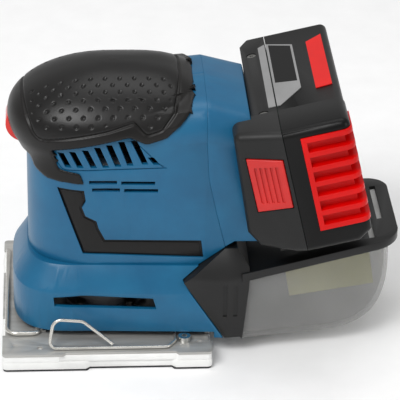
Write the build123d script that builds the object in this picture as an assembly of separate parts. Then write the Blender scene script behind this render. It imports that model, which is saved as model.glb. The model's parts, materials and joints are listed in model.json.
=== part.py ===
from build123d import *
import math
import os

# Cordless quarter-sheet palm sander with a wire-clamp platen, a slide-on battery and a dust box.
# Millimetres. +X points to the rear (battery end), +Y to the far side, +Z up.
# The origin is the centre of the sanding face, the underside of the pad.

# --- Driving dimensions ---------------------------------------------------------------------
PLATEN_X, PLATEN_Y = 101.0, 113.0      # standard quarter-sheet platen
HOOK_TOP = 1.0                         # hook layer, foam, base and steel plate stack upwards
FOAM_TOP = 5.0
BASE_TOP = 8.3
PLATE_TOP = 9.5
ORBIT = 0.8                            # orbit radius, half of the 1.6 mm orbit diameter

WALL = 2.5                             # moulded housing wall
SHROUD_Z0 = 12.9                       # underside of the foot shroud
SHROUD_EDGE = 34.0                     # top of its upright wall
BODY_Z0 = 46.0                         # shroud meets body
BODY_FRONT = -37.5
BODY_HALF = 33.5
SHROUD_FRONT = -45.2
SHROUD_HALF = 40.5

RUBBER = 3.0                           # soft grip over the housing dome
GROOVE = 0.5                           # gap round the textured insert

TILT = 13.0                            # battery leans back, lower end to the rear
DOCK_X, DOCK_Z = 68.4, 121.5           # top edge of the battery's tool side
PACK_LEN = 116.0
PACK_HIGH = 62.0                       # size along the leaning direction
PACK_THICK = 44.0                      # from the tool side outwards
SEAM = 12.7                            # cover and case of the battery meet here
COLLAR_R = 4.0
DEEP_INSET = 3.0                       # below this depth the collar's inner form needs no rounding
COLLAR_Y = -33.5                       # inner end of the thicker front collar
FACE_TURN = math.radians(20)           # the collar's end sweeps back beside the release button

BOX_FRONT, BOX_REAR = 66.0, 138.0      # dust container
BOX_HALF_FRONT, BOX_HALF_REAR = 42.0, 30.5
BOX_Z0 = 8.5
LID_Z, LID_SLOPE = 41.5, 0.163         # underside of the lid at x = 71, and its rise per mm
LID_X = 71.0

WIRE_LEVER, WIRE_BAR = 0.8, 1.1        # wire radii of the paper clamps
FIT = 0.05                             # running clearance, radial


# --- Small helpers --------------------------------------------------------------------------
def block(x0, x1, y0, y1, z0, z1):
    return Pos((x0 + x1) / 2, (y0 + y1) / 2, (z0 + z1) / 2) * Box(x1 - x0, y1 - y0, z1 - z0)


def disc(radius, z0, z1, x=0.0, y=0.0):
    return Pos(x, y, (z0 + z1) / 2) * Cylinder(radius, z1 - z0)


def ring(outer, inner, z0, z1, x=0.0, y=0.0):
    return disc(outer, z0, z1, x, y) - disc(inner, z0 - 1, z1 + 1, x, y)


def rod_y(radius, y0, y1, x, z):
    return Pos(x, (y0 + y1) / 2, z) * Rot(90, 0, 0) * Cylinder(radius, y1 - y0)


def rod_x(radius, x0, x1, y, z):
    return Pos((x0 + x1) / 2, y, z) * Rot(0, 90, 0) * Cylinder(radius, x1 - x0)


def side_prism(points, y0, y1):
    """A prism along Y from a side-view outline of (x, z) points."""
    face = make_face(Polyline(*[(x, y0, z) for x, z in points], close=True))
    return extrude(face, amount=y1 - y0, dir=(0, 1, 0))


def plan_prism(points, z0, z1):
    """A prism along Z from a plan-view outline of (x, y) points."""
    face = make_face(Polyline(*[(x, y, z0) for x, y in points], close=True))
    return extrude(face, amount=z1 - z0, dir=(0, 0, 1))


def tube_along(path, radius):
    section = Plane(path @ 0, z_dir=path % 0) * Circle(radius)
    return sweep(section, path)


def both_sides(shape):
    """The shape and its copy turned half round the vertical axis."""
    return [shape, Rot(0, 0, 180) * shape]


nodes = {}


def keep(name, *shapes):
    solids = [s for shape in shapes for s in shape.solids()]
    nodes[name] = solids[0] if len(solids) == 1 else Compound(children=solids)


# --- Outer forms ----------------------------------------------------------------------------
def egg(z, front, rear, half, power=2.35, centre=4.0, count=24):
    """Egg-shaped plan section at height z."""
    points = []
    for i in range(count):
        t = 2 * math.pi * i / count
        c, s = math.cos(t), math.sin(t)
        reach = (rear - centre) if c > 0 else (centre - front)
        x = centre + reach * math.copysign(abs(c) ** (2 / power), c)
        y = half * math.copysign(abs(s) ** (2 / power), s)
        points.append((x, y, z))
    return make_face(Spline(*points, periodic=True))


GRIP_SECTIONS = [  # height, front, rear, half width
    (84.0, -38.4, 46.0, 34.5),
    (93.0, -38.7, 46.0, 34.7),
    (100.0, -41.5, 45.6, 35.8),
    (107.0, -45.2, 45.2, 37.0),
    (114.0, -46.4, 45.0, 37.2),
    (121.0, -43.8, 44.8, 35.2),
    (128.0, -36.5, 43.4, 29.5),
    (133.5, -26.0, 38.5, 22.0),
    (137.2, -14.0, 29.5, 13.5),
    (138.9, -3.0, 17.0, 6.0),
]


def grip_form(inset):
    faces = []
    for z, front, rear, half in GRIP_SECTIONS:
        faces.append(egg(z - inset, front + inset, rear - inset, half - inset))
    return loft(faces)


def body_form(inset, z0, z1):
    """Upright body: round front, near-parallel sides that run on to the rear."""
    half, front, centre, power = BODY_HALF - inset, BODY_FRONT + inset, 0.0, 2.7
    points = []
    for i in range(13):
        t = math.pi / 2 + math.pi * i / 12
        c, s = math.cos(t), math.sin(t)
        x = centre - (centre - front) * abs(c) ** (2 / power)
        points.append((x, half * math.copysign(abs(s) ** (2 / power), s), z0))
    rear_half = 35.8 - inset
    outline = Spline(*points) + Polyline(points[-1], (60, -rear_half, z0), (95, -rear_half, z0),
                                         (95, rear_half, z0), (60, rear_half, z0), points[0])
    return extrude(make_face(outline), amount=z1 - z0, dir=(0, 0, 1))


def arch(x, half, top, foot=50.0):
    """Upright section at x: straight sides under a crowned top."""
    crown = [(half, top - 20), (half * 0.975, top - 11), (half * 0.86, top - 4.6), (half * 0.5, top - 1.2)]
    right = [(x, y, z) for y, z in crown]
    left = [(x, -y, z) for y, z in reversed(crown)]
    top_line = Spline(*right, (x, 0, top), *left)
    return make_face(top_line + Polyline(left[-1], (x, -half, foot), (x, half, foot), right[0]))


def column_form(inset):
    """Rear column behind the grip, and the arm that carries the battery dock."""
    front = loft([arch(12, 34.0 - inset, 128.0 - inset), arch(47.5, 35.35 - inset, 131.0 - inset)])
    rear = loft([arch(47.5, 35.35 - inset, 131.0 - inset), arch(92.0, 36.2 - inset, 118.8 - inset)])
    return front + rear


PARTING = [(47.5, 150), (47.5, 110), (48.6, 92), (52.7, 73), (56.9, 55.6), (57.4, 40)]
parting_rear = side_prism(PARTING + [(150, 40), (150, 150)], -80, 80)
V_NOTCH = [(36.4, 40.0), (56.8, 55.6), (160, 55.6), (160, 0), (56.6, 9.0)]
v_rear = side_prism(V_NOTCH, -80, 80)
lower_bound = block(-100, 150, -80, 80, BODY_Z0, 200)

rear_cut = lower_bound - parting_rear - v_rear
housing_outer = (body_form(0, BODY_Z0 - 4, 112) + column_form(0) + grip_form(RUBBER)) & rear_cut
inner_room = body_form(WALL, BODY_Z0 - 6, 108) + column_form(WALL) + grip_form(RUBBER + WALL)
housing_shell = housing_outer - (inner_room & (block(-100, 150, -80, 80, 0, 200)))


# --- Housing halves -------------------------------------------------------------------------
SWITCH_X, SWITCH_Z, SWITCH_R, SWITCH_HALF = -38.0, 108.4, 9.3, 7.0
switch_well = rod_y(SWITCH_R + 0.5, -SWITCH_HALF - 0.5, SWITCH_HALF + 0.5, SWITCH_X, SWITCH_Z)
LABEL = [(-8.6, 83.5), (39.2, 83.5), (39.2, 58.6), (0.2, 58.6), (-2.8, 66.5), (-8.6, 70.5)]
VENTS = [  # lower x, lower z, upper x, upper z of each leaning slot
    (-17.6, 97.7, -21.3, 105.0),
    (-11.9, 97.9, -15.9, 106.1),
    (-5.6, 98.0, -9.9, 107.4),
    (0.1, 98.2, -4.2, 109.1),
    (5.8, 98.8, 1.4, 110.4),
    (11.5, 99.4, 7.1, 112.0),
    (18.5, 100.0, 13.0, 112.6),
    (24.0, 99.9, 21.0, 103.7),
]
VENT_PANEL = [(-25.7, 106.5), (10.9, 114.6), (13.4, 113.0), (24.8, 100.8), (28.9, 98.0), (-20.1, 95.9), (-22.9, 99.3)]
PANEL_LINE = 0.6                       # width and depth of the line round the vents
VENT_WIDTH = 3.0
FLAT_VENTS = [(-8.0, 5.2, 90.3), (7.2, 23.2, 90.0), (-6.6, 6.6, 86.3), (8.6, 24.6, 86.0)]
FLAT_VENT_HIGH = 1.8


def vent_cutters(y0, y1):
    cutters = []
    for x0, z0, x1, z1 in VENTS:
        outline = [(x0 - VENT_WIDTH / 2, z0), (x0 + VENT_WIDTH / 2, z0),
                   (x1 + VENT_WIDTH / 2, z1), (x1 - VENT_WIDTH / 2, z1)]
        cutters.append(side_prism(outline, y0, y1))
    for x0, x1, z in FLAT_VENTS:
        cutters.append(block(x0, x1, y0, y1, z - FLAT_VENT_HIGH / 2, z + FLAT_VENT_HIGH / 2))
    return cutters


SIDE_INSERT = [(-23.2, 86.4), (-10.4, 85.8), (-9.6, 80.0), (-11.4, 76.6), (-9.8, 72.2), (-4.6, 69.4),
               (-3.6, 65.6), (-0.6, 59.4), (45.4, 59.2), (46.6, 49.8), (-11.2, 51.6)]
INSERT_SUNK, INSERT_FLOOR = 0.9, 1.8   # its edge channel lies deeper than its raised field
FIELD_SUNK, FIELD_EDGE = 0.3, 1.2
insert_face = make_face(Polyline(*[(x, 0, z) for x, z in SIDE_INSERT], close=True))
field_face = offset(insert_face, amount=-FIELD_EDGE, kind=Kind.INTERSECTION)
insert_floor = body_form(INSERT_FLOOR, 47, 89)
insert_room = body_form(-1.0, 48, 88) - insert_floor
insert_edge = body_form(INSERT_SUNK, 48, 88) - insert_floor
insert_field = body_form(FIELD_SUNK, 48, 88) - insert_floor


def insert_on(side):
    """The pocket and the rubber insert of one side, -1 near and 1 far."""
    outline = extrude(insert_face, amount=60, dir=(0, side, 0)) - v_rear - parting_rear
    field = extrude(field_face, amount=60, dir=(0, side, 0)) - v_rear - parting_rear
    return insert_room & outline, (insert_edge & outline) + (insert_field & field)


pocket_near, side_insert_near = insert_on(-1)
pocket_far, side_insert_far = insert_on(1)

LABEL_SUNK = 0.5
label_layer = body_form(LABEL_SUNK - 0.4, 50, 90) - body_form(LABEL_SUNK + 0.5, 49, 91)
label_near = (label_layer & side_prism(LABEL, -60, 0)) - pocket_near
label_far = (label_layer & side_prism(LABEL, 0, 60)) - pocket_far

BOSSES = [(-30.5, 59.5), (-31.0, 80.0), (43.6, 72.0), (40.0, 118.0)]
BOSS_R, SCREW_R, SCREW_HEAD_R = 4.2, 1.5, 2.9
for tool in vent_cutters(-50, 50):
    housing_shell -= tool
panel_face = make_face(Polyline(*[(x, -60, z) for x, z in VENT_PANEL], close=True))
panel_ring = panel_face - offset(panel_face, amount=-PANEL_LINE, kind=Kind.INTERSECTION)
panel_line = extrude(panel_ring, amount=120, dir=(0, 1, 0))
for solid in (body_form(PANEL_LINE, 40, 113), column_form(PANEL_LINE), grip_form(RUBBER + PANEL_LINE)):
    panel_line -= solid
housing_shell -= panel_line
housing_shell -= switch_well
for x, z in BOSSES:
    boss = rod_y(BOSS_R, -40, 40, x, z) & housing_outer
    housing_shell += boss
housing_shell -= pocket_near + pocket_far
housing_shell -= label_near + label_far
SCREW_SEAT = 12.0
for x, z in BOSSES:
    housing_shell -= rod_y(SCREW_R, -10.0, SCREW_SEAT, x, z)
    housing_shell -= rod_y(SCREW_HEAD_R + 0.2, SCREW_SEAT, 60, x, z)
keep("housing_left", housing_shell & block(-100, 150, -80, 0, 0, 200))
keep("housing_right", housing_shell & block(-100, 150, 0, 80, 0, 200))
keep("side_insert_left", side_insert_near)
keep("side_insert_right", side_insert_far)
keep("label_plate_left", label_near)
keep("label_plate_right", label_far)


def screw_y(x, z, seat, tip):
    head = rod_y(SCREW_HEAD_R, seat, seat + 2.2, x, z)
    socket = rod_y(1.3, seat + 1.0, seat + 3, x, z)
    return head - socket + rod_y(SCREW_R, tip, seat, x, z)


keep("housing_screws", *[screw_y(x, z, SCREW_SEAT, -10.0) for x, z in BOSSES])


# --- Soft grip ------------------------------------------------------------------------------
RUBBER_EDGE = [(-60, 98.0), (-36.3, 98.4), (-34.1, 93.3), (-28.4, 90.4), (-10.4, 89.4), (-12.4, 95.1),
               (-19.5, 96.0), (-22.7, 96.9), (-25.7, 106.5), (11.2, 115.4), (19.1, 111.5), (28.5, 114.2),
               (37.2, 123.0), (42.2, 130.0), (44.4, 138), (44.4, 160), (-60, 160)]
INSERT_EDGE = [(-42.6, 135), (-39.6, 128), (-33.6, 114.0), (-31.6, 112.2), (-28.7, 112.1), (0.8, 118.6),
               (13.4, 122.4), (19.1, 116.4), (26.0, 118.4), (32.0, 126.0), (35.5, 136.0), (36.5, 150), (-42.6, 150)]
rubber_prism = side_prism(RUBBER_EDGE, -60, 60)
insert_prism = side_prism(INSERT_EDGE, -60, 60)
groove_prism = offset(insert_prism, amount=GROOVE)
SKIN = 0.9                             # rubber over the column and the neck
rubber_form = grip_form(0) + (column_form(-SKIN) & block(14, 60, -60, 60, 90, 160))
rubber_form += body_form(-SKIN, 88, 104) & block(-60, -5, -60, 60, 60, 160)
grip_shell = ((rubber_form - housing_outer) & rubber_prism) - switch_well
grip_upper = grip_shell - grip_form(1.6)
keep("grip_band", grip_shell - (grip_upper & groove_prism))
keep("grip_insert", grip_upper & insert_prism)


# --- Foot shroud ----------------------------------------------------------------------------
def shroud_plan(z, inset, front=SHROUD_FRONT, half=SHROUD_HALF, power=3.4):
    """Plan outline of the foot: square shoulders at the front, straight sides to the rear."""
    a = -8.0
    points = []
    for i in range(13):
        t = math.pi / 2 + math.pi * i / 12
        c, s = math.cos(t), math.sin(t)
        x = a - (a - front - inset) * abs(c) ** (2 / power)
        points.append((x, (half - inset) * math.copysign(abs(s) ** (2 / power), s), z))
    end = half + 3.2 - inset
    outline = Spline(*points) + Polyline(points[-1], (58, -end, z), (58, end, z), points[0])
    return make_face(outline)


def shroud_form(inset, z0, z1):
    low = extrude(shroud_plan(z0, inset), amount=SHROUD_EDGE - z0, dir=(0, 0, 1))
    high = loft([shroud_plan(SHROUD_EDGE, inset), shroud_plan(z1, inset, BODY_FRONT - 0.4, BODY_HALF + 0.6)])
    return low + high


shroud_outer = shroud_form(0, 9.6, BODY_Z0) - v_rear
shroud_inner = shroud_form(WALL, 5.0, BODY_Z0 + 0.01) - side_prism(
    [(36.4 - WALL, 40.3), (60, 62), (160, 62), (160, 0), (53.0, 0), (53.0, 9.0)], -80, 80)
under_cut = block(-100, 52.0, -80, 80, 0, SHROUD_Z0)
shroud = shroud_outer - shroud_inner - under_cut
shroud_roof = (shroud_form(0, 9.6, BODY_Z0) & block(-100, 34, -80, 80, BODY_Z0 - 2.5, BODY_Z0))
shroud += shroud_roof - disc(29.0, 0, 60)
SLOT = [(-25.6, 31.3), (-11.9, 32.7), (22.3, 31.2), (24.0, 25.2), (-25.2, 26.4)]
shroud -= side_prism(SLOT, -60, 60)
PORT_Z, PORT_HALF_Y, PORT_HALF_Z = 25.0, 15.0, 7.0
port_core = block(20, 62, -PORT_HALF_Y + 2, PORT_HALF_Y - 2, PORT_Z - PORT_HALF_Z + 2, PORT_Z + PORT_HALF_Z - 2)
port_tube = block(44, 62, -PORT_HALF_Y, PORT_HALF_Y, PORT_Z - PORT_HALF_Z, PORT_Z + PORT_HALF_Z)
port_tube = port_tube - shroud_inner
shroud = (shroud + port_tube) - port_core
FOOT_SCREWS = [(-26.0, -20.0), (-26.0, 20.0), (24.0, -22.0), (24.0, 22.0)]
for x, y in FOOT_SCREWS:
    shroud -= disc(1.7, 30, 60, x, y)
keep("foot_shroud", shroud)
keep("foot_screws", *[disc(3.0, BODY_Z0 - 4.9, BODY_Z0 - 2.5, x, y) + disc(1.6, BODY_Z0 - 2.5, BODY_Z0 - 0.1, x, y)
                      for x, y in FOOT_SCREWS if math.hypot(x, y) > 31])


# --- Rear housing with the battery dock -----------------------------------------------------
dock = Pos(DOCK_X, 0, DOCK_Z) * Rot(0, -TILT, 0)     # local x outwards, local z up the pack
DOCK_GAP = 0.4
TONGUE_STEM = (-5.0, 0.5, -50.0, -14.0)              # x0, x1, z0, z1 of the pack's sliding tongue
TONGUE_FLANGE = (-10.0, -5.0, -54.0, -10.0)
TONGUE_Y0, TONGUE_Y1 = -38.6, 30.0
SLAB = -15.0                                         # inner face of the dock wall


def tongue(grow, y0, y1):
    shapes = []
    for x0, x1, z0, z1 in (TONGUE_STEM, TONGUE_FLANGE):
        shapes.append(block(x0 - grow, x1 + grow, y0, y1, z0 - grow, z1 + grow))
    return shapes[0] + shapes[1]


rear_side = [(47.0, 150), (47.0, 50), (57.4, 55.9), (61.5, 58.6), (120, 58.6), (120, 150)]
rear_outer = (column_form(0) & parting_rear) & side_prism(rear_side, -60, 60)
rear_outer -= dock * block(-DOCK_GAP, 120, -100, 100, -150, 100)
room_side = [(40, 150), (40, 50), (58.0, 61.5), (120, 61.5), (120, 150)]
rear_room = (column_form(WALL) & side_prism(room_side, -60, 60)) - dock * block(SLAB, 120, -100, 100, -150, 100)
rear_housing = rear_outer - rear_room - dock * tongue(DOCK_GAP, -90, TONGUE_Y1 + 0.8)
BLADES = [-24.0, -32.0, -40.0]
BLADE_HALF = 0.4
for z in BLADES:
    rear_housing -= dock * block(-17, -9, 4, 28, z - BLADE_HALF, z + BLADE_HALF)
keep("rear_housing", rear_housing)
keep("contact_blades", *[dock * block(-16.5, -4.0, 4, 28, z - BLADE_HALF, z + BLADE_HALF) for z in BLADES])
terminal = dock * block(-20.0, SLAB, -2, 30, -46, -18)
for z in BLADES:
    terminal -= dock * block(-17, -9, 4, 28, z - BLADE_HALF, z + BLADE_HALF)
keep("terminal_block", terminal & column_form(WALL + 0.2))


# --- Switch and electronics -----------------------------------------------------------------
rocker = rod_y(SWITCH_R, -SWITCH_HALF, SWITCH_HALF, SWITCH_X, SWITCH_Z)
rocker -= block(SWITCH_X + 1.5, 0, -20, 20, 80, 140)
keep("switch_rocker", rocker)
keep("switch_body", block(-33.5, -24.0, -8, 8, 100.5, 116.0))
keep("control_board", block(30.8, 32.4, -18, 18, 70, 98))
keep("board_capacitor", rod_x(5.0, 32.5, 44.0, 8.0, 86.0))


# --- Motor and eccentric drive --------------------------------------------------------------
AXIS_X = -ORBIT                        # motor axis; the platen turns about x = 0 on the eccentric
SHAFT_R, PIN_R, BEARING_R = 2.5, 4.0, 11.0
keep("motor_shaft", disc(SHAFT_R, 25.0, 108.0, AXIS_X))
weight = disc(22.0, 19.0, 25.0, AXIS_X) - disc(SHAFT_R, 24.9, 26, AXIS_X)
weight -= block(5, 40, -40, 40, 21.0, 26)
keep("counterweight", weight + disc(PIN_R - FIT, 10.4, 19.0, 0))
fan = disc(27.0, 25.0, 26.6, AXIS_X) - disc(SHAFT_R, 20, 40, AXIS_X)
fan += ring(6.0, SHAFT_R, 26.6, 37.0, AXIS_X)
FAN_BLADES = 9
for i in range(FAN_BLADES):
    blade = Rot(0, 0, 360 / FAN_BLADES * i) * (Pos(16, 3, 31.8) * Rot(0, 0, 24) * Box(19, 1.4, 10.4))
    fan += Pos(AXIS_X, 0, 0) * blade
keep("fan", fan)
keep("rotor_core", ring(14.0, SHAFT_R, 62.0, 88.0, AXIS_X))
keep("commutator", ring(7.0, SHAFT_R, 89.5, 97.0, AXIS_X))
keep("motor_can", ring(23.5, 21.5, 55.0, 98.5, AXIS_X) + ring(21.5, 5.0, 55.0, 56.5, AXIS_X))
magnet_ring = ring(21.5, 15.0, 60.0, 90.0, AXIS_X) - block(-60, 60, -3, 3, 50, 100)
keep("magnets", magnet_ring)
keep("brushes", *[Pos(AXIS_X, 0, 0) * block(7.05, 14, -2.5, 2.5, 91, 95.5),
                  Pos(AXIS_X, 0, 0) * block(-14, -7.05, -2.5, 2.5, 91, 95.5)])
end_cap = ring(21.5, 3.5, 96.5 + 1.0, 99.5, AXIS_X) + ring(10.5, 7.0, 99.5, 107.0, AXIS_X)
keep("motor_end_cap", end_cap)
keep("upper_bearing", ring(7.0, SHAFT_R + FIT, 100.5, 106.0, AXIS_X))
keep("lower_bearing", ring(9.5, SHAFT_R + FIT, 47.0, 53.0, AXIS_X))
keep("bearing_bridge", ring(30.3, 9.5, 47.0, 53.5, AXIS_X))
keep("eccentric_bearing", ring(BEARING_R, PIN_R, 10.0, 17.0))
hub = ring(15.0, BEARING_R, PLATE_TOP, 17.5) + ring(20.0, BEARING_R, PLATE_TOP, 11.5)
HUB_SCREWS = [(17.4 * math.cos(math.radians(a)), 17.4 * math.sin(math.radians(a))) for a in (45, 135, 225, 315)]
for x, y in HUB_SCREWS:
    hub -= disc(1.2, 5, 20, x, y)
keep("platen_hub", hub)
keep("hub_screws", *[disc(1.2, 6.5, 11.5, x, y) + disc(2.2, 11.5, 13.3, x, y) for x, y in HUB_SCREWS])
FEET = [(-34.0, 12.0, 43.2), (-34.0, -12.0, 43.2), (34.0, 16.0, 32.0), (34.0, -16.0, 32.0)]
keep("oscillation_feet", *[disc(4.0, PLATE_TOP + 0.3, top, x, y) - shroud for x, y, top in FEET])


# --- Platen ---------------------------------------------------------------------------------
NOTCH_X0, NOTCH_X1, NOTCH_DEEP = -8.5, 31.0, 1.9


def layer(z0, z1, inset, notch_x0, notch_x1, deep):
    """One rectangular platen layer, with the shallow notch of each long side."""
    hx, hy = PLATEN_X / 2 - inset, PLATEN_Y / 2 - inset
    plate = extrude(Pos(0, 0, z0) * RectangleRounded(2 * hx, 2 * hy, 2.0), amount=z1 - z0)
    notch = plan_prism([(notch_x0 - 2, -hy - 1), (notch_x0, -hy + deep), (notch_x1, -hy + deep),
                        (notch_x1 + 2, -hy - 1)], z0 - 1, z1 + 1)
    for cut in both_sides(notch):
        plate -= cut
    return plate


keep("hook_layer", layer(0.0, HOOK_TOP, 0.4, NOTCH_X0, NOTCH_X1, NOTCH_DEEP))
keep("foam_pad", layer(HOOK_TOP, FOAM_TOP, 0.0, NOTCH_X0, NOTCH_X1, NOTCH_DEEP))
pad_base = layer(FOAM_TOP, BASE_TOP, 0.3, NOTCH_X0 - 14, NOTCH_X1 + 2, 0.8)
steel_plate = layer(BASE_TOP, PLATE_TOP, 0.0, -20.0, 33.0, 1.6)
EDGE_SLOTS = [(23.0, 46.0), (-38.0, -20.5)]
edge_cuts = []
for y0, y1 in EDGE_SLOTS:
    edge_cuts += both_sides(block(-60, -49.2, y0, y1, FOAM_TOP, 20))
for cut in edge_cuts:
    pad_base -= cut
    steel_plate -= cut
PLATE_HOLES = [(-32.4, -50.0, 1.3), (-27.1, -48.0, 0.9), (32.4, 50.0, 1.3), (27.1, 48.0, 0.9)]
PLATE_SCREW_X, PLATE_SCREW_Y = 37.4, -45.4
for x, y, radius in PLATE_HOLES:
    steel_plate -= disc(radius, 5, 20, x, y)
for x, y in HUB_SCREWS:
    steel_plate -= disc(1.2, 5, 20, x, y)
    pad_base -= disc(1.2, 6.4, 20, x, y)
plate_screw = disc(3.0, PLATE_TOP, 12.4) + disc(1.5, 5.6, PLATE_TOP) - extrude(
    Pos(0, 0, 10.8) * RegularPolygon(1.5, 6), amount=3)
screw_pair = both_sides(Pos(PLATE_SCREW_X, PLATE_SCREW_Y, 0) * plate_screw)
for hole in both_sides(disc(1.5, 5.6, 20, PLATE_SCREW_X, PLATE_SCREW_Y)):
    steel_plate -= hole
    pad_base -= hole
for dimple in both_sides(disc(1.2, PLATE_TOP - 0.5, 20, -44.4, -47.5) + disc(1.2, PLATE_TOP - 0.5, 20, 44.6, -46.5)):
    steel_plate -= dimple
keep("pad_base", pad_base)
keep("steel_plate", steel_plate)
keep("platen_screws", *screw_pair)

LEVER_Z, BAR_Z, CLAMP_X = 10.5, 10.8, 33.0
lever_path = FilletPolyline((2.6, -52.2, 12.4), (-11.6, -49.4, 23.6), (-25.6, -48.9, 24.6), (-28.2, -52.4, LEVER_Z),
                            (29.2, -52.4, LEVER_Z), (CLAMP_X, -46.6, LEVER_Z), (CLAMP_X, -25.0, LEVER_Z),
                            radius=[5.0, 4.5, 3.4, 3.0, 3.0])
lever = tube_along(lever_path, WIRE_LEVER)
bar_path = FilletPolyline((-48.3, 44.0, BAR_Z), (-48.3, -38.4, BAR_Z), (-CLAMP_X, -38.4, BAR_Z),
                          (-CLAMP_X, -25.0, BAR_Z), radius=[5.0, 3.0])
bar = tube_along(bar_path, WIRE_BAR)
REAR_BAR_END = 39.0                    # the rear bar ends inside the foot shroud
rear_path = FilletPolyline((48.3, -REAR_BAR_END, BAR_Z), (48.3, 38.4, BAR_Z), (CLAMP_X, 38.4, BAR_Z),
                           (CLAMP_X, 25.0, BAR_Z), radius=[5.0, 3.0])
lever_near, lever_far = both_sides(lever)
keep("clamp_lever_near", lever_near)
keep("clamp_lever_far", lever_far)
keep("clamp_bar_front", bar)
keep("clamp_bar_rear", tube_along(rear_path, WIRE_BAR))


def saddle(x, y, wire, z):
    """Stamped saddle that holds a clamp wire's pivot down on the plate."""
    form = block(x - 3.4, x + 3.4, y - 4, y + 4, PLATE_TOP, PLATE_TOP + 0.8)
    form += rod_y(wire + 0.75, y - 4, y + 4, x, z) & block(x - 5, x + 5, y - 5, y + 5, PLATE_TOP, 12.6)
    return form - rod_y(wire + FIT, y - 6, y + 6, x, z)


lever_saddles = both_sides(saddle(CLAMP_X, -31.0, WIRE_LEVER, LEVER_Z))
bar_saddles = both_sides(saddle(-CLAMP_X, -31.0, WIRE_BAR, BAR_Z))
keep("wire_saddles", *lever_saddles, *bar_saddles)


# --- Battery --------------------------------------------------------------------------------
Y0, Y1 = -PACK_LEN / 2, PACK_LEN / 2


def end_outline(collar):
    """The outer edges of the collar's two end faces, without the crease between them."""
    end_faces = [face for face in collar.faces() if face.normal_at().Y < -0.9]
    edges = [edge for face in end_faces for edge in face.edges()]
    crease = [e for e in edges if abs(e.center().X - SEAM) < 0.3 and e.bounding_box().size.Z > PACK_HIGH / 2]
    return [edge for edge in edges if edge not in crease]


def far_corner(inset):
    """What is left off the corner behind the cover, at the end away from the button."""
    i = inset
    return plan_prism([(-1 + i, Y1 - 11), (0.6 + i, Y1 - 8 - i), (4.0 + i, Y1 - 2.4 - i), (10 + i, Y1 + 1 - i),
                       (10 + i, Y1 + 9), (-1 - i, Y1 + 9)], -90, 9)


def pack_form(inset):
    """Battery outline in the dock's frame: a plain case behind a thicker, rounded front collar."""
    i = inset
    case = block(0, PACK_THICK - i, Y0 + 8, Y1 - i, -PACK_HIGH + i, -i)
    case -= far_corner(i)
    case = fillet(case.edges().filter_by(Axis.Y).group_by(Axis.X)[-1], 3.2)
    case = fillet(case.faces().sort_by(Axis.Y)[-1].edges().filter_by(Axis.X), 3.0)
    collar = side_prism([(-9.6 + i, 3.0 - i), (-13.2 + i, -50.0), (-8.4 + i, -58.0), (8.0, -62.0 + i),
                         (PACK_THICK - 6.0 - i, -62.0 + i), (PACK_THICK + 0.4 - i, -57.0), (PACK_THICK + 0.4 - i, 3.0 - i)],
                        Y0 + i, COLLAR_Y - i)
    collar -= plan_prism([(SEAM, Y0 - 20 + i), (SEAM, Y0 + i), (SEAM - 40, Y0 + i + 40 * math.tan(FACE_TURN)),
                          (SEAM - 40, Y0 - 20 + i)], -90, 30)
    if i < DEEP_INSET:
        radius = COLLAR_R - 0.8 * i
        collar = fillet(collar.edges().filter_by(Axis.Y).group_by(Axis.Z)[-1], radius)
        collar = fillet(end_outline(collar), radius)
    collar -= block(-30, -DOCK_GAP + 0.4, COLLAR_Y - 3.3, 0, -80, 20)
    return case + collar


pack_solid = pack_form(0)
pack_room = block(2.2, PACK_THICK - 2.4, Y0 + 11, Y1 - 2.4, -PACK_HIGH + 2.4, -2.4) - far_corner(2.2)
pack_shell = pack_solid - pack_room
SEAM_GAP = 0.3
BUTTON_X, BUTTON_Z = 2.2, -23.7
BUTTON_HALF, BUTTON_LONG, BUTTON_SHORT = 8.8, 14.3, 12.6
BUTTON_PROUD, BUTTON_SUNK, BUTTON_TRAVEL, BUTTON_GAP = 0.8, 2.6, 2.5, 0.5
button_face = Pos(BUTTON_X, Y0 + (SEAM - BUTTON_X) * math.tan(FACE_TURN), BUTTON_Z) * Rot(0, 0, -math.degrees(FACE_TURN))


def button_prism(grow, y0, y1):
    """The button's tapering outline, longer on the tool side, grown all round."""
    half, long, short = BUTTON_HALF + grow, BUTTON_LONG + grow, BUTTON_SHORT + grow
    return side_prism([(-half, -long), (half, -short), (half, short), (-half, long)], y0, y1)


well = button_face * button_prism(BUTTON_GAP, -6, BUTTON_SUNK + BUTTON_TRAVEL + 0.6)
cover = (pack_shell & block(-40, SEAM - SEAM_GAP / 2, -100, 100, -100, 50)) + (
    tongue(0, TONGUE_Y0, TONGUE_Y1) & block(-40, 0.5, -100, 100, -100, 50))
cover -= well
for z in BLADES:
    cover -= block(-10.5, -3.4, 3, 40, z - BLADE_HALF - 0.5, z + BLADE_HALF + 0.5)
SCREW_SPOTS = [(5.0, 37.0), (6.0, -27.5), (21.0, -29.5)]
case = pack_shell & block(SEAM + SEAM_GAP / 2, 60, -100, 100, -100, 50)
rib_zone = block(20.5, 60, Y0 - 5, Y0 + 17.5, -51.0, -1.5)
rib_layer = (pack_form(-0.7) - pack_form(4.6)) & rib_zone
case -= (pack_form(-1) - pack_form(4.6)) & rib_zone
RIBS = 7
RIB_HIGH = 2.7
rib_pitch = (49.5 - RIB_HIGH) / (RIBS - 1)
for i in range(RIBS - 1):
    low = -51.0 + RIB_HIGH + rib_pitch * i
    window = block(23.0, 60, Y0 - 5, Y0 + 14.0, low, low + rib_pitch - RIB_HIGH)
    rib_layer -= window - pack_form(3.6)
for x, y in SCREW_SPOTS:
    pocket = disc(2.4, -1.6, 5, x, y)
    cover -= pocket
    case -= pocket
keep("battery_cover", dock * cover)
keep("battery_case", dock * case)
keep("battery_ribs", dock * rib_layer)
keep("battery_screws", *[dock * (disc(2.2, -1.6, -0.4, x, y) - disc(0.9, -1.0, 1, x, y)) for x, y in SCREW_SPOTS])
LABEL_FOIL = 0.35
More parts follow.
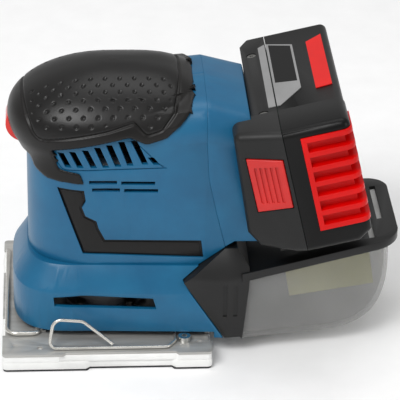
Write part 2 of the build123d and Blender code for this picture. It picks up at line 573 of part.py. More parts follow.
label_strip = plan_prism([(8.8, -23.5), (12.3, -23.5), (12.3, 45.5), (8.8, 43.0)], 0, LABEL_FOIL)
label_panel = plan_prism([(12.95, -23.5), (14.6, -23.5), (25.8, -9.5), (25.8, 39.0), (12.95, 45.5)], 0, LABEL_FOIL)
keep("battery_label", dock * label_strip, dock * label_panel)
inlay = plan_prism([(32.6, -13.5), (40.6, -12.5), (40.6, 44.0), (32.6, 38.5)], 0, LABEL_FOIL)
keep("battery_inlay", dock * inlay)
CELL_R = 9.0
CELL_ROWS, CELL_COLUMNS = (12.0, 31.6), (-36.0, -17.6, 0.8, 19.2, 37.6)
keep("battery_cells", *[dock * disc(CELL_R, -59.0, -3.0, x, y) for x in CELL_ROWS for y in CELL_COLUMNS])
keep("cell_divider", dock * block(21.2, 22.4, -46, 50, -59, -3))
button = button_prism(0, -BUTTON_PROUD, BUTTON_SUNK)
button = fillet(button.faces().sort_by(Axis.Y)[0].edges(), 0.7)
BUTTON_GROOVES, GROOVE_PITCH = 5, 2.6
for i in range(BUTTON_GROOVES):
    x = GROOVE_PITCH * (i - (BUTTON_GROOVES - 1) / 2)
    button -= block(x - 0.7, x + 0.7, -3, -BUTTON_PROUD + 0.9, -9.5, 9.5)
keep("release_button", dock * button_face * button)


# --- Dust box -------------------------------------------------------------------------------
GAP = 0.35
LID_TILT = math.degrees(math.atan(LID_SLOPE))
LID_HIGH = 4.2
LID_REAR = 142.0
BOX_WALL = 1.8


def lid_under(x):
    return LID_Z + LID_SLOPE * (x - LID_X)


def box_plan(grow, x0, x1, z0, z1, corner=11.0):
    """Tapering plan of the dust box with rounded rear corners."""
    slope = (BOX_HALF_REAR - BOX_HALF_FRONT) / (BOX_REAR - BOX_FRONT)
    rear = x1 + grow
    half0 = BOX_HALF_FRONT + slope * (x0 - BOX_FRONT) + grow
    half1 = BOX_HALF_FRONT + slope * (rear - corner - BOX_FRONT) + grow
    top = Line((x0, half0, z0), (rear - corner, half1, z0))
    curve = TangentArc(top @ 1, (rear, half1 - corner - 0.5, z0), tangent=top % 1)
    outline = top + curve + mirror(curve, Plane.XZ) + mirror(top, Plane.XZ)
    outline += Line((rear, half1 - corner - 0.5, z0), (rear, -half1 + corner + 0.5, z0))
    outline += Line((x0, -half0, z0), (x0, half0, z0))
    return extrude(make_face(outline), amount=z1 - z0, dir=(0, 0, 1))


def box_side(inset):
    """Side view of the container: flat floor that sweeps up into the rear wall."""
    floor, rear = BOX_Z0 + inset, BOX_REAR - inset
    sweep_r = 27.0 - inset
    line = Polyline((rear, -80, floor + sweep_r + 2), (rear, -80, 80), (BOX_FRONT + 2.5, -80, 80),
                    (BOX_FRONT - 0.6, -80, floor), (rear - sweep_r - 6, -80, floor))
    curve = Spline(line @ 1, (rear - 7.5, -80, floor + sweep_r * 0.36), line @ 0,
                   tangents=[(1, 0, 0), (0.12, 0, 1)])
    return extrude(make_face(line + curve), amount=160, dir=(0, 1, 0))


def below_lid(lift):
    z0, z1 = lid_under(0) + lift, lid_under(200) + lift
    return side_prism([(0, -50), (0, z0), (200, z1), (200, -50)], -80, 80)


container = box_plan(0, BOX_FRONT - 2, BOX_REAR, -20, 90) & box_side(0) & below_lid(0)
container -= box_plan(-BOX_WALL, BOX_FRONT - 10, BOX_REAR, -20, 90) & (
    box_side(BOX_WALL) + block(40, 70, -80, 80, BOX_Z0 + BOX_WALL, 90))
keep("dust_container", container)

lid_form = below_lid(LID_HIGH) - below_lid(0)
lid = lid_form & box_plan(1.6, BOX_FRONT - 1, LID_REAR - 1.6, 0, 90)
lid_cavity = (below_lid(LID_HIGH - 1.8) - below_lid(-1)) & box_plan(-1.4, 84, BOX_REAR, 0, 90, corner=7.0)
OUTLETS = [(134.6, -10.0, 23.5), (129.0, -27.5, 18.0), (121.0, -26.0, 26.0), (113.0, -27.0, 27.0),
           (105.0, -28.0, 28.0), (97.0, -29.0, 29.0)]
OUTLET_WIDE = 2.8
lid -= lid_cavity
for x, y0, y1 in OUTLETS:
    lid -= block(x - OUTLET_WIDE / 2, x + OUTLET_WIDE / 2, y0, y1, 20, 90)
keep("dust_lid", lid)

lid_frame = Pos(LID_X, 0, LID_Z) * Rot(0, -LID_TILT, 0)
FILTER_X0, FILTER_X1, FILTER_DEEP, FILTER_HALF = 15.5, 57.0, 22.0, 26.0
frame_outer = block(FILTER_X0, FILTER_X1, -FILTER_HALF, FILTER_HALF, -FILTER_DEEP, -0.1)
frame_inner = block(FILTER_X0 + 1.5, FILTER_X1 - 1.5, -FILTER_HALF + 1.5, FILTER_HALF - 1.5,
                    -FILTER_DEEP - 1, 5)
keep("filter_frame", lid_frame * (frame_outer - frame_inner))
PLEATS, PAPER = 10, 1.2
pleat_step = (FILTER_X1 - FILTER_X0 - 3.4) / (2 * PLEATS)
crest, root = -1.8, -FILTER_DEEP + 0.6
upper = [(FILTER_X0 + 1.7 + pleat_step * i, crest if i % 2 else root + PAPER * 1.6) for i in range(2 * PLEATS + 1)]
lower = [(x, z - PAPER * 1.6) for x, z in reversed(upper)]
keep("filter_pleats", lid_frame * side_prism(upper + lower, -FILTER_HALF + 1.7, FILTER_HALF - 1.7))
keep("outlet_fleece", (below_lid(LID_HIGH - 1.9) - below_lid(1.1)) & box_plan(-1.8, 92, BOX_REAR, 0, 90, corner=7.0))

ADAPTER_SIDE = [(36.4 + GAP + 0.3, 40.0 - 0.2), (57.0, 55.2), (63.0, 55.2), (68.6, lid_under(68.6) + 6.0),
                (68.6, lid_under(68.6) - 0.3), (68.2 + 0.2, 38.0), (65.6, BOX_Z0 + 0.2), (64.6, 9.9), (57.0, 9.6)]
ROOM_SIDE = [(40.6, 40.0), (57.6, 52.8), (61.8, 52.8), (66.5, lid_under(66.5) + 3.0), (72, lid_under(72) - 1.0),
             (72, 12.0), (58.4, 12.0)]


def shroud_block(inset, z0, z1):
    return extrude(shroud_plan(z0, inset), amount=z1 - z0, dir=(0, 0, 1))


def wedge_roof(inset):
    """Tapers the adapter inwards above its widest line."""
    h = SHROUD_HALF + 3.4 - inset
    outline = [(-h, 0), (-h, 41.5 - inset), (-36.0 + inset, 56.0 - inset), (36.0 - inset, 56.0 - inset), (h, 41.5 - inset), (h, 0)]
    face = make_face(Polyline(*[(20, y, z) for y, z in outline], close=True))
    return extrude(face, amount=60, dir=(1, 0, 0))


def adapter_plan(inset):
    front = shroud_block(inset, 0, 90) & block(0, 58, -80, 80, 0, 90)
    slope_half = BOX_HALF_FRONT + 1.2
    rear = plan_prism([(57.9, SHROUD_HALF + 3.2 - inset), (68.7, slope_half - inset),
                       (68.7, -slope_half + inset), (57.9, -SHROUD_HALF - 3.2 + inset)], 0, 90)
    return front + rear


adapter = side_prism(ADAPTER_SIDE, -60, 60) & adapter_plan(0) & wedge_roof(0)
adapter -= side_prism(ROOM_SIDE, -60, 60) & adapter_plan(2.2) & wedge_roof(1.6)
port_clear = block(20, 63, -PORT_HALF_Y - GAP, PORT_HALF_Y + GAP, PORT_Z - PORT_HALF_Z - GAP, PORT_Z + PORT_HALF_Z + GAP)
adapter -= port_clear
FINGER_GROOVES = (57.0, 62.0)
for x in FINGER_GROOVES:
    for side in (-1, 1):
        adapter -= Pos(x, side * 45.6, 30) * Box(2.0, 5.6, 17)
adapter -= lid
adapter -= container
keep("dust_adapter", adapter)

os.makedirs("parts", exist_ok=True)
for name, solid in nodes.items():
    export_step(solid, os.path.join("parts", name + ".step"))
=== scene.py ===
import json
import math

import bmesh
import bpy
import numpy as np
from mathutils import Matrix, Vector


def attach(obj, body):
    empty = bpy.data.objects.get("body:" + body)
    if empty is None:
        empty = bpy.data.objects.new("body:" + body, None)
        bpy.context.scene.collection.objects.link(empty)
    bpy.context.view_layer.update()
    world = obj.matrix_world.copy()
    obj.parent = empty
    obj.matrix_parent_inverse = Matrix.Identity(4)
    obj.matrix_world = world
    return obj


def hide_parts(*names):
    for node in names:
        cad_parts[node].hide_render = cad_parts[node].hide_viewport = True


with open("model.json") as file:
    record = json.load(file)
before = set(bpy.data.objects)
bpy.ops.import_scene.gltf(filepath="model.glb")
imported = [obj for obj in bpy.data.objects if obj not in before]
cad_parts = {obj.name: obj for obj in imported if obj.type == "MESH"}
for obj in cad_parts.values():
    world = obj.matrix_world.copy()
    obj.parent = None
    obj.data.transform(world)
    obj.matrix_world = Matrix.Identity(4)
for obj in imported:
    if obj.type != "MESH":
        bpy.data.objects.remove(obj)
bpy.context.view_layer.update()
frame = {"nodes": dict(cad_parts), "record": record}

MM = 0.001
nodes = frame["nodes"]


def placed(name, data):
    """A new object in the scene for a mesh, a light or the camera."""
    obj = bpy.data.objects.new(name, data)
    bpy.context.scene.collection.objects.link(obj)
    return obj


def placed_form(name, form):
    """A new object in the scene made from an edit mesh, which is used up."""
    mesh = bpy.data.meshes.new(name)
    form.to_mesh(mesh)
    form.free()
    return placed(name, mesh)


def join_rings(form, low, high):
    """Side faces between two rings of points."""
    for i in range(len(low)):
        j = (i + 1) % len(low)
        form.faces.new((low[i], low[j], high[j], high[i]))


# --- Materials ------------------------------------------------------------------------------
ROUGH_SPREAD = 0.05                        # how far the gloss wanders either side of its mean
PATCH_DETAIL, PATCH_ROUGH = 5.0, 0.6       # noise of the colour mottling
FINE_DETAIL, FINE_ROUGH = 3.0, 0.55        # noise of the surface grain
RAMP_DARK, RAMP_LIGHT = 0.3, 0.7           # where the mottling reaches its two colours


def linear(code):
    """Linear colour from an sRGB hex code."""
    out = []
    for i in (0, 2, 4):
        v = int(code[i:i + 2], 16) / 255
        out.append(v / 12.92 if v <= 0.04045 else ((v + 0.055) / 1.055) ** 2.4)
    return (*out, 1.0)


def node_add(tree, kind, **inputs):
    """A shader node with the given values on its sockets."""
    n = tree.nodes.new(kind)
    for key, value in inputs.items():
        n.inputs[key.replace("_", " ")].default_value = value
    return n


def material(name, dark, light, rough, mottle=45.0, grain=2200.0, grain_mm=0.02, metallic=0.0,
             stretch=(1, 1, 1), **sockets):
    """A finish with mottled colour, uneven gloss and a fine surface grain, all in object space."""
    mat = bpy.data.materials.new(name)
    mat.use_nodes = True
    tree = mat.node_tree
    bsdf = tree.nodes["Principled BSDF"]
    bsdf.inputs["Metallic"].default_value = metallic
    for key, value in sockets.items():
        bsdf.inputs[key.replace("_", " ")].default_value = value
    coords = tree.nodes.new("ShaderNodeTexCoord")
    mapping = tree.nodes.new("ShaderNodeMapping")
    mapping.inputs["Scale"].default_value = stretch
    tree.links.new(coords.outputs["Object"], mapping.inputs["Vector"])
    patches = node_add(tree, "ShaderNodeTexNoise", Scale=mottle, Detail=PATCH_DETAIL,
                       Roughness=PATCH_ROUGH)
    tree.links.new(mapping.outputs["Vector"], patches.inputs["Vector"])
    ramp = tree.nodes.new("ShaderNodeValToRGB")
    ramp.color_ramp.elements[0].position = RAMP_DARK
    ramp.color_ramp.elements[0].color = linear(dark)
    ramp.color_ramp.elements[1].position = RAMP_LIGHT
    ramp.color_ramp.elements[1].color = linear(light)
    tree.links.new(patches.outputs["Fac"], ramp.inputs["Fac"])
    tree.links.new(ramp.outputs["Color"], bsdf.inputs["Base Color"])
    fine = node_add(tree, "ShaderNodeTexNoise", Scale=grain, Detail=FINE_DETAIL, Roughness=FINE_ROUGH)
    tree.links.new(mapping.outputs["Vector"], fine.inputs["Vector"])
    gloss = node_add(tree, "ShaderNodeMapRange", To_Min=rough - ROUGH_SPREAD,
                     To_Max=rough + ROUGH_SPREAD)
    tree.links.new(patches.outputs["Fac"], gloss.inputs["Value"])
    tree.links.new(gloss.outputs["Result"], bsdf.inputs["Roughness"])
    bump = node_add(tree, "ShaderNodeBump", Strength=1.0, Distance=grain_mm * MM)
    tree.links.new(fine.outputs["Fac"], bump.inputs["Height"])
    tree.links.new(bump.outputs["Normal"], bsdf.inputs["Normal"])
    return mat


FINISH = {
    "housing_blue": dict(dark="0B547A", light="106086", rough=0.38, grain=1500, grain_mm=0.03,
                         Specular_IOR_Level=0.42),
    "shroud_blue": dict(dark="0B557B", light="106187", rough=0.36, grain=1500, grain_mm=0.03,
                        Specular_IOR_Level=0.42),
    "panel_blue": dict(dark="0A4870", light="0D507A", rough=0.34, grain=2500, grain_mm=0.01,
                       Specular_IOR_Level=0.35),
    "soft_rubber": dict(dark="0B0A09", light="131110", rough=0.38, grain=2600, grain_mm=0.035,
                        Specular_IOR_Level=0.28),
    "grip_rubber": dict(dark="080707", light="0E0D0C", rough=0.36, grain=2600, grain_mm=0.035,
                        Specular_IOR_Level=0.34),
    "screw_steel": dict(dark="8A8A88", light="A9A8A4", rough=0.32, metallic=1.0),
    "bright_steel": dict(dark="C4C4C2", light="DEDEDC", rough=0.18, metallic=1.0, grain_mm=0.005),
    "brass": dict(dark="B08D45", light="D0AC5C", rough=0.3, metallic=1.0),
    "black_plastic": dict(dark="151515", light="1D1D1D", rough=0.45),
    "board_green": dict(dark="0F3F26", light="175535", rough=0.35),
    "aluminium": dict(dark="BBBCBE", light="D2D3D4", rough=0.3, metallic=1.0),
    "zinc_steel": dict(dark="8F9194", light="ABADB0", rough=0.38, metallic=1.0),
    "dark_magnet": dict(dark="1E1E20", light="2B2B2E", rough=0.55),
    "bearing_steel": dict(dark="A3A3A5", light="C4C4C6", rough=0.2, metallic=1.0, grain_mm=0.005),
    "dark_steel": dict(dark="3A3A3E", light="4D4D52", rough=0.45, metallic=0.8),
    "cast_zinc": dict(dark="8D8D90", light="A9A9AD", rough=0.5, metallic=0.9, grain=900, grain_mm=0.05),
    "hook_nylon": dict(dark="1A1A1C", light="303033", rough=0.85, grain=1400, grain_mm=0.25),
    "pad_foam": dict(dark="DEDEDC", light="F0F0EE", rough=0.85, grain=1300, grain_mm=0.12),
    "pad_plastic": dict(dark="E2E2E0", light="F2F2F0", rough=0.5, grain=1800, grain_mm=0.03),
    "stamped_steel": dict(dark="9E9D9A", light="C2C1BD", rough=0.42, metallic=0.45, mottle=60,
                          stretch=(0.25, 2.2, 1), grain=900, grain_mm=0.03),
    "spring_wire": dict(dark="C0BEB8", light="E2E0DA", rough=0.25, metallic=0.85, grain_mm=0.006),
    "switch_red": dict(dark="BE1208", light="D41C10", rough=0.28, grain_mm=0.006, Coat_Weight=0.2),
    "cover_grey": dict(dark="1C1C1C", light="242424", rough=0.42, grain=1500, grain_mm=0.035,
                       Specular_IOR_Level=0.22),
    "case_black": dict(dark="050505", light="0A0A0A", rough=0.36, grain=1500, grain_mm=0.035,
                       Specular_IOR_Level=0.20),
    "rib_red": dict(dark="C20302", light="D40504", rough=0.30, grain=1800, grain_mm=0.012,
                    Specular_IOR_Level=0.22),
    "label_grey": dict(dark="8C8C8C", light="9A9A9A", rough=0.4, metallic=0.3, grain_mm=0.006),
    "inlay_red": dict(dark="CC0C08", light="DA120D", rough=0.35, grain_mm=0.006, Specular_IOR_Level=0.3),
    "cell_wrap": dict(dark="1B5D42", light="237553", rough=0.3),
    "button_red": dict(dark="BC1410", light="CC1C16", rough=0.42, grain_mm=0.01, Specular_IOR_Level=0.5),
    "adapter_black": dict(dark="0C0C0C", light="151515", rough=0.40, grain=1500, grain_mm=0.035,
                          Specular_IOR_Level=0.40),
    "lid_black": dict(dark="0A0A0A", light="121212", rough=0.36, grain=1500, grain_mm=0.03,
                      Specular_IOR_Level=0.40),
    "filter_yellow": dict(dark="D6D27E", light="E6E294", rough=0.6),
    "filter_paper": dict(dark="D8D592", light="E8E5AE", rough=0.85, grain=900, grain_mm=0.08),
    "fleece_grey": dict(dark="B9B9B7", light="D6D6D4", rough=0.95, grain=1100, grain_mm=0.2),
    "smoked_clear": dict(dark="8E8E8D", light="9C9C9B", rough=0.32, grain=1400, grain_mm=0.02, Alpha=0.40,
                         Specular_IOR_Level=0.35),
}
finishes = {name: material(name, **facts) for name, facts in FINISH.items()}
SLOT_OF = {part["node"]: part["material_slot"] for part in frame["record"]["subparts"]}
EDGE_ANGLE, SOFT_ANGLE = 32.0, 50.0        # degrees from which an edge of a hard or a soft piece is sharp
WELD_MM, FLAT_ANGLE, BEVEL_STEPS = 0.002, 0.6, 2


def dress(obj, slot_name, bevel_mm=0.0, angle=EDGE_ANGLE):
    """Gives a piece its finish, smooth shading up to an edge angle and, where asked, softened edges."""
    obj.data.materials.clear()
    obj.data.materials.append(finishes[slot_name])
    for poly in obj.data.polygons:
        poly.use_smooth = True
    if bevel_mm:
        weld = obj.modifiers.new("weld", "WELD")
        weld.merge_threshold = WELD_MM * MM
        flat = obj.modifiers.new("flat", "DECIMATE")
        flat.decimate_type = "DISSOLVE"
        flat.angle_limit = math.radians(FLAT_ANGLE)
        round_off = obj.modifiers.new("edges", "BEVEL")
        round_off.width = bevel_mm * MM
        round_off.segments = BEVEL_STEPS
        round_off.limit_method = "ANGLE"
        round_off.angle_limit = math.radians(angle)
    obj.data.set_sharp_from_angle(angle=math.radians(angle))


BEVELS = {  # width of the softened edges, in mm
    "housing_left": 0.35, "housing_right": 0.35, "rear_housing": 0.4, "foot_shroud": 0.5,
    "side_insert_left": 0.3, "side_insert_right": 0.3, "label_plate_left": 0.1, "label_plate_right": 0.1,
    "battery_cover": 0.4, "battery_case": 0.4, "battery_ribs": 0.45, "release_button": 0.2,
    "dust_adapter": 0.6, "dust_lid": 0.5, "dust_container": 0.4, "steel_plate": 0.2, "pad_base": 0.3,
    "hook_layer": 0.15, "switch_rocker": 0.4,
}
for name, obj in nodes.items():
    dress(obj, SLOT_OF[name], BEVELS.get(name, 0.0))


# --- Soft grip ------------------------------------------------------------------------------
GRIP_SECTIONS = [  # height, front, rear and half width of the dome, in mm; low down it runs into the column
    (84.0, -38.4, 46.0, 34.5), (93.0, -38.7, 46.0, 34.7), (100.0, -41.5, 45.6, 35.8),
    (107.0, -45.2, 45.2, 37.0), (114.0, -46.4, 45.0, 37.2), (121.0, -43.8, 46.4, 35.2),
    (128.0, -36.5, 46.0, 29.5), (133.5, -26.0, 38.0, 22.0), (137.2, -14.0, 29.5, 13.5),
    (138.9, -3.0, 17.0, 6.0), (139.3, 4.0, 4.0, 0.0),
]
GRIP_CENTRE, NOSE_POWER, REAR_POWER = 4.0, 2.35, 3.4   # the rear is squarer than the nose
RUBBER_EDGE = [(-60, 98.0), (-36.3, 98.4), (-34.1, 93.3), (-28.4, 90.4), (-10.4, 89.4), (-12.4, 95.1),
               (-19.5, 96.0), (-22.7, 96.9), (-25.7, 106.5), (11.2, 115.4), (19.1, 111.5), (28.5, 114.2),
               (37.2, 123.0), (42.2, 130.0), (44.4, 138), (44.4, 160), (-60, 160)]
INSERT_EDGE = [(-42.6, 135), (-39.6, 128), (-33.6, 114.0), (-31.6, 112.2), (-28.7, 112.1), (0.8, 118.6),
               (13.4, 122.4), (19.1, 116.4), (26.0, 118.4), (32.0, 126.0), (35.5, 136.0), (36.5, 150),
               (-42.6, 150)]
GRIP_AROUND, GRIP_UP = 600, 190            # points round the dome and rows up it
ROW_FINER, SPLINE_STEPS = 24, 40           # how much finer each row and each section span is first drawn
CORNER_CUT, CORNER_SHARE = 0.7, 0.25       # how far a corner of an outline is cut back, in mm and as a share
EDGE_REACH = 0.32                          # points this close to an outline move onto it
GRIP_THICK, CROWN_WELD = 1.6, 0.05
SKIN = 0.95                                # rubber over the column and the neck, in mm
NECK_FRONT, NECK_HALF, NECK_POWER = 37.5, 33.5, 2.7
NECK_TOP, NECK_REAR = 104.0, 12.0
COLUMN_FRONT, COLUMN_FROM, COLUMN_LONG = 12.0, 10.0, 35.5
COLUMN_HALF, COLUMN_FLARE, COLUMN_PROUD = 34.0, 1.35, 0.25
COLUMN_TOP, COLUMN_RISE = 128.0, 3.0
CROWN_DOWN, CROWN_SHARE = [0, 1.2, 4.6, 11, 20], [0.0, 0.55, 0.89, 0.985, 1.0]   # mm below the crown, width
CROWN_DEEP = 40.0
WIDEN_SOFT, WIDEN_FROM = 1.6, 6.0          # rounding of the change-over, and the middle that stays as it is
BAND_ROLL, BAND_DROP = 1.2, 0.55           # the band's edge rolls in over this width by this depth
GROOVE_WIDE, GROOVE_DEEP, GROOVE_EASE = 0.75, 0.75, 0.5   # the groove between band and insert
LIP_WIDE, LIP_DROP = 0.8, 0.6              # the insert's edge
PIT_PITCH_X, PIT_PITCH_ROUND = 6.9, 3.75   # staggered rows of small round pits
PIT_R, PIT_DEEP, PIT_FREE_ROWS = 1.05, 0.6, 3
PIT_MARGIN, PIT_FADE = 2.2, 0.6            # the pits keep this far from the insert's edge
ROLL_Z, ROLL_R = 104.0, 33.0               # the rows run round this axis


def rounded_outline(points, turns=2):
    """The closed outline with its corners cut, so that they read as small curves."""
    out = [np.array(p, float) for p in points]
    for _ in range(turns):
        cut = []
        for a, b in zip(out, out[1:] + out[:1]):
            reach = min(CORNER_SHARE, CORNER_CUT / max(np.linalg.norm(b - a), 1e-6))
            cut += [a + (b - a) * reach, b - (b - a) * reach]
        out = cut
    return np.array(out)


def edge_distance(xz, outline):
    """Signed distance to the outline, positive inside, and the nearest point of the outline."""
    a, b = outline, np.roll(outline, -1, axis=0)
    best = np.full(len(xz), 1e9)
    near = np.zeros_like(xz)
    inside = np.zeros(len(xz), bool)
    for p, q in zip(a, b):
        run = q - p
        t = np.clip(((xz - p) @ run) / max(run @ run, 1e-9), 0, 1)
        foot = p + t[:, None] * run
        d = np.linalg.norm(xz - foot, axis=1)
        closer = d < best
        best[closer] = d[closer]
        near[closer] = foot[closer]
        crosses = (p[1] > xz[:, 1]) != (q[1] > xz[:, 1])
        level = (xz[:, 1] - p[1]) / (q[1] - p[1] + 1e-12)
        inside ^= crosses & (xz[:, 0] < p[0] + level * run[0])
    return np.where(inside, best, -best), near


def spline_rows(values, count):
    """Catmull-Rom rows through the given sections, spread evenly along the dome."""
    keys = np.array(values, float)
    keys = np.vstack([2 * keys[0] - keys[1], keys, 2 * keys[-1] - keys[-2]])
    dense = []
    for i in range(1, len(keys) - 2):
        p0, p1, p2, p3 = keys[i - 1:i + 3]
        for t in np.linspace(0, 1, SPLINE_STEPS, endpoint=False):
            dense.append(0.5 * (2 * p1 + (p2 - p0) * t + (2 * p0 - 5 * p1 + 4 * p2 - p3) * t * t
                                + (3 * p1 - p0 - 3 * p2 + p3) * t ** 3))
    dense.append(keys[-2])
    dense = np.array(dense)
    step = np.linalg.norm(np.diff(dense[:, [0, 3]], axis=0), axis=1)
    along = np.concatenate([[0], np.cumsum(step)])
    even = np.linspace(0, along[-1], count)
    return np.stack([np.interp(even, along, dense[:, k]) for k in range(dense.shape[1])], axis=1)


def smooth_max(a, b, soft):
    """The larger of two values, with the change-over rounded."""
    blend = np.clip(0.5 + 0.5 * (a - b) / soft, 0, 1)
    return b + (a - b) * blend + soft * blend * (1 - blend)


def neck_half(x, z):
    """Half width of the rubber-covered neck below the dome."""
    forward = np.clip(-x / (NECK_FRONT + SKIN), 0, 1)
    half = (NECK_HALF + SKIN) * (1 - forward ** NECK_POWER) ** (1 / NECK_POWER)
    return np.where((z < NECK_TOP) & (x < NECK_REAR), half, 0.0)


def column_half(x, z):
    """Half width of the rubber-covered column behind the dome, falling away over its crown."""
    half = COLUMN_HALF + COLUMN_FLARE * (x - COLUMN_FRONT) / COLUMN_LONG + SKIN + COLUMN_PROUD
    crown = COLUMN_TOP + COLUMN_RISE * (x - COLUMN_FRONT) / COLUMN_LONG + SKIN
    share = np.interp(np.clip(crown - z, 0, CROWN_DEEP), CROWN_DOWN, CROWN_SHARE)
    return np.where(x > COLUMN_FROM, half * share, 0.0)


def widened(y, half):
    """Half widths pushed out to at least the given ones, except near the middle."""
    wide = smooth_max(np.abs(y), half, WIDEN_SOFT)
    return np.sign(y) * (np.abs(y) + (wide - np.abs(y)) * np.clip(np.abs(y) / WIDEN_FROM, 0, 1))


def grip_points():
    """The dome's points in mm, one row per height, and the outward normal of each."""
    angles = np.linspace(0, 2 * math.pi, ROW_FINER * GRIP_AROUND + 1)
    c, s = np.cos(angles), np.sin(angles)
    power = np.where(c > 0, REAR_POWER, NOSE_POWER)
    bend_c = np.sign(c) * np.abs(c) ** (2 / power)
    bend_s = np.sign(s) * np.abs(s) ** (2 / power)
    rows = []
    for z, front, rear, half in spline_rows(GRIP_SECTIONS, GRIP_UP):
        reach = np.where(c > 0, rear - GRIP_CENTRE, GRIP_CENTRE - front)
        x, y = GRIP_CENTRE + reach * bend_c, half * bend_s
        y = widened(y, column_half(x, z))
        along = np.concatenate([[0], np.cumsum(np.hypot(np.diff(x), np.diff(y)))])
        even = np.linspace(0, along[-1], GRIP_AROUND, endpoint=False)
        rows.append(np.stack([np.interp(even, along, x), np.interp(even, along, y), np.full_like(even, z)],
                             axis=1))
    grid = np.array(rows)
    x, y, z = grid[..., 0], grid[..., 1], grid[..., 2]
    grid[..., 1] = np.where(x < GRIP_CENTRE, widened(y, neck_half(x, z)), y)
    around = np.roll(grid, -1, axis=1) - np.roll(grid, 1, axis=1)
    upward = np.gradient(grid, axis=0)
    normal = np.cross(around, upward)
    normal /= np.maximum(np.linalg.norm(normal, axis=2, keepdims=True), 1e-9)
    return grid, normal


def pit_depth(points):
    """How deep each point lies in the staggered round pits."""
    theta = np.arctan2(points[:, 1], points[:, 2] - ROLL_Z)
    row = np.round(theta * ROLL_R / PIT_PITCH_ROUND)
    shift = np.where(row % 2 == 0, 0.0, 0.5 * PIT_PITCH_X)
    from_row = theta * ROLL_R - row * PIT_PITCH_ROUND
    from_pit = (points[:, 0] - shift + PIT_PITCH_X / 2) % PIT_PITCH_X - PIT_PITCH_X / 2
    d = np.hypot(from_row, from_pit)
    pitted = (np.abs(row) > PIT_FREE_ROWS) * (points[:, 2] > ROLL_Z)
    fall = np.clip((PIT_R - d) / (0.5 * PIT_R), 0, 1) * pitted
    return PIT_DEEP * fall * fall * (3 - 2 * fall)


def grip_skin(name, node, region, slot_name):
    """One rubber piece cut from the dome: region says of all points which stay, where and how deep."""
    grid, normal = grip_points()
    flat, flat_n = grid.reshape(-1, 3), normal.reshape(-1, 3)
    keep, target, depth = region(flat)
    moved = flat.copy()
    moved[:, [0, 2]] = target
    moved -= flat_n * depth[:, None]
    index = np.arange(GRIP_UP * GRIP_AROUND).reshape(GRIP_UP, GRIP_AROUND)
    faces = np.stack([index[:-1], np.roll(index[:-1], -1, 1), np.roll(index[1:], -1, 1), index[1:]], axis=2)
    faces = faces.reshape(-1, 4)
    faces = faces[keep[faces].all(axis=1)]
    used = np.unique(faces)
    renumber = np.zeros(len(flat), int)
    renumber[used] = np.arange(len(used))
    mesh = bpy.data.meshes.new(name)
    mesh.from_pydata((moved[used] * MM).tolist(), [], renumber[faces].tolist())
    mesh.update()
    obj = placed(name, mesh)
    crown = obj.modifiers.new("crown", "WELD")
    crown.merge_threshold = CROWN_WELD * MM
    shell = obj.modifiers.new("thickness", "SOLIDIFY")
    shell.thickness = GRIP_THICK * MM
    shell.offset = -1.0
    dress(obj, slot_name, angle=SOFT_ANGLE)
    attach(obj, "housing")
    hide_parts(node)


def snapped(xz, distance, near):
    """Points close to an edge move onto it, so that the edge is clean."""
    out = xz.copy()
    close = np.abs(distance) < EDGE_REACH
    out[close] = near[close]
    return out, close


def band_region(points):
    """The smooth band: all of the dome inside the rubber's edge, sunk under the insert."""
    xz = points[:, [0, 2]]
    outer, outer_near = edge_distance(xz, rounded_outline(RUBBER_EDGE))
    inner, _ = edge_distance(xz, rounded_outline(INSERT_EDGE))
    target, on_edge = snapped(xz, outer, outer_near)
    keep = (outer > 0) | on_edge
    roll_in = np.clip(1 - outer / BAND_ROLL, 0, 1)
    groove = np.clip((inner + GROOVE_WIDE + GROOVE_EASE) / GROOVE_EASE, 0, 1)
    return keep, target, BAND_DROP * roll_in ** 2 + GROOVE_DEEP * groove


def insert_region(points):
    """The pitted insert, with a lip round its edge."""
    xz = points[:, [0, 2]]
    inner, near = edge_distance(xz, rounded_outline(INSERT_EDGE))
    target, on_edge = snapped(xz, inner, near)
    keep = (inner > 0) | on_edge
    lip = np.clip(1 - inner / LIP_WIDE, 0, 1)
    calm = np.clip((inner - PIT_MARGIN) / PIT_FADE, 0, 1)
    return keep, target, LIP_DROP * lip ** 2 + pit_depth(points) * calm


grip_skin("grip_band_skin", "grip_band", band_region, "soft_rubber")
grip_skin("grip_insert_skin", "grip_insert", insert_region, "grip_rubber")


# --- Foam pad -------------------------------------------------------------------------------
PAD_X, PAD_Y, PAD_CORNER = 50.5, 56.5, 2.0
NOTCH_X0, NOTCH_X1, NOTCH_DEEP, NOTCH_RAMP = -8.5, 31.0, 1.9, 2.0
CORNER_POINTS = 5
FOAM_LEVELS = [  # height and inset of the side, in mm
    (1.0, 0.5), (1.15, 0.2), (1.6, 0.05), (3.0, -0.12), (4.4, 0.05), (4.85, 0.2), (5.0, 0.45)]


def pad_corner(x, y, start):
    """Points of a rounded corner about its centre, from a start angle in degrees."""
    turns = [math.radians(start + 90 / (CORNER_POINTS - 1) * i) for i in range(CORNER_POINTS)]
    return [(x + PAD_CORNER * math.cos(a), y + PAD_CORNER * math.sin(a)) for a in turns]


def pad_outline(inset):
    """Rounded rectangle with the shallow notch of each long side, in mm."""
    hx, hy = PAD_X - inset, PAD_Y - inset
    half = pad_corner(-hx + PAD_CORNER, -hy + PAD_CORNER, 180)
    half += [(NOTCH_X0 - NOTCH_RAMP, -hy), (NOTCH_X0, -hy + NOTCH_DEEP),
             (NOTCH_X1, -hy + NOTCH_DEEP), (NOTCH_X1 + NOTCH_RAMP, -hy)]
    half += pad_corner(hx - PAD_CORNER, -hy + PAD_CORNER, 270)
    return half + [(-x, -y) for x, y in half]


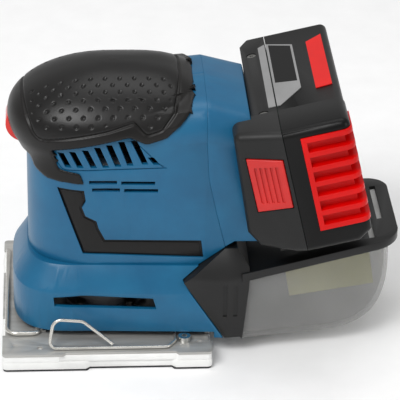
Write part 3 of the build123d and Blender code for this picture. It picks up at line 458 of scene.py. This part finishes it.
def foam_pad():
    """Closed-cell foam slab whose sides bulge a little between the hook layer and the base."""
    form = bmesh.new()
    rings = []
    for z, inset in FOAM_LEVELS:
        rings.append([form.verts.new((x * MM, y * MM, z * MM)) for x, y in pad_outline(inset)])
    for low, high in zip(rings, rings[1:]):
        join_rings(form, low, high)
    form.faces.new(list(reversed(rings[0])))
    form.faces.new(rings[-1])
    bmesh.ops.recalc_face_normals(form, faces=form.faces)
    obj = placed_form("foam_slab", form)
    dress(obj, "pad_foam", angle=SOFT_ANGLE)
    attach(obj, "platen")
    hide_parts("foam_pad")


foam_pad()


# --- Battery label --------------------------------------------------------------------------
DOCK_PLACE, DOCK_TILT = Vector((68.4, 0.0, 121.5)), math.radians(-13.0)   # where the pack's own axes stand
LABEL_FIELD = [(14.1, 1.0), (24.7, -1.5), (24.7, 38.0), (14.1, 43.6)]
LABEL_TOP, LABEL_FILM = 0.35, 0.06


def label_field():
    """Plain dark field on the grey label, a thin film with no lettering."""
    turn = Matrix.Translation(DOCK_PLACE * MM) @ Matrix.Rotation(DOCK_TILT, 4, "Y")
    form = bmesh.new()
    top = [form.verts.new(turn @ (Vector((x, y, LABEL_TOP + LABEL_FILM)) * MM)) for x, y in LABEL_FIELD]
    low = [form.verts.new(turn @ (Vector((x, y, LABEL_TOP)) * MM)) for x, y in LABEL_FIELD]
    form.faces.new(top)
    form.faces.new(list(reversed(low)))
    join_rings(form, low, top)
    bmesh.ops.recalc_face_normals(form, faces=form.faces)
    obj = placed_form("label_dark_field", form)
    dress(obj, "case_black")
    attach(obj, "battery")


label_field()


# --- Camera, floor and light ----------------------------------------------------------------
LENS, SENSOR = 225.5, 36.0
CAMERA_PLACE = Vector((-24.43, -1080.01, 644.82)) * MM
CAMERA_RIGHT, CAMERA_UP = Vector((0.99822, -0.05764, 0.01525)), Vector((0.01392, 0.47402, 0.88040))
FLOOR_R, FLOOR_SIDES = 6.0, 64             # metres
WORLD_LIGHT = 0.5
AREA_LIGHTS = [  # name, place, what it is aimed at, width and depth, in metres, and power
    ("key", (-0.55, -0.75, 1.15), (0.03, 0, 0.07), (0.7, 0.5), 13),
    ("top", (0.1, 0.25, 1.3), (0.03, 0, 0.07), (0.9, 0.6), 4.0),
    ("side", (1.1, -0.6, 0.55), (0.05, 0, 0.07), (0.5, 0.7), 2.5),
]


def set_camera():
    """A long lens above the near side, a little towards the nose."""
    data = bpy.data.cameras.new("camera")
    data.lens = LENS
    data.sensor_width = SENSOR
    data.clip_start = 0.05
    data.clip_end = 30.0
    obj = placed("camera", data)
    back = CAMERA_RIGHT.cross(CAMERA_UP).normalized()
    right = CAMERA_UP.cross(back).normalized()
    turn = Matrix((right, CAMERA_UP, back)).transposed().to_4x4()
    obj.matrix_world = Matrix.Translation(CAMERA_PLACE) @ turn
    bpy.context.scene.camera = obj


def area_light(name, place, aim, size, power):
    """A white rectangular lamp turned towards a point."""
    data = bpy.data.lights.new(name, "AREA")
    data.shape = "RECTANGLE"
    data.size, data.size_y = size
    data.energy = power
    obj = placed(name, data)
    obj.location = place
    obj.rotation_euler = (Vector(aim) - Vector(place)).to_track_quat("-Z", "Y").to_euler()


def set_stage():
    """Pale floor, even white surroundings and the lamps."""
    form = bmesh.new()
    bmesh.ops.create_circle(form, cap_ends=True, radius=FLOOR_R, segments=FLOOR_SIDES)
    floor = placed_form("floor", form)
    floor.data.materials.append(material("floor_paper", "F4F4F4", "F8F8F8", 0.9, grain=300, grain_mm=0.02))
    world = bpy.data.worlds.new("studio")
    bpy.context.scene.world = world
    world.use_nodes = True
    surround = world.node_tree.nodes["Background"].inputs
    surround["Color"].default_value = (1, 1, 1, 1)
    surround["Strength"].default_value = WORLD_LIGHT
    for facts in AREA_LIGHTS:
        area_light(*facts)


set_camera()
set_stage()
bpy.context.scene.view_settings.view_transform = "Standard"
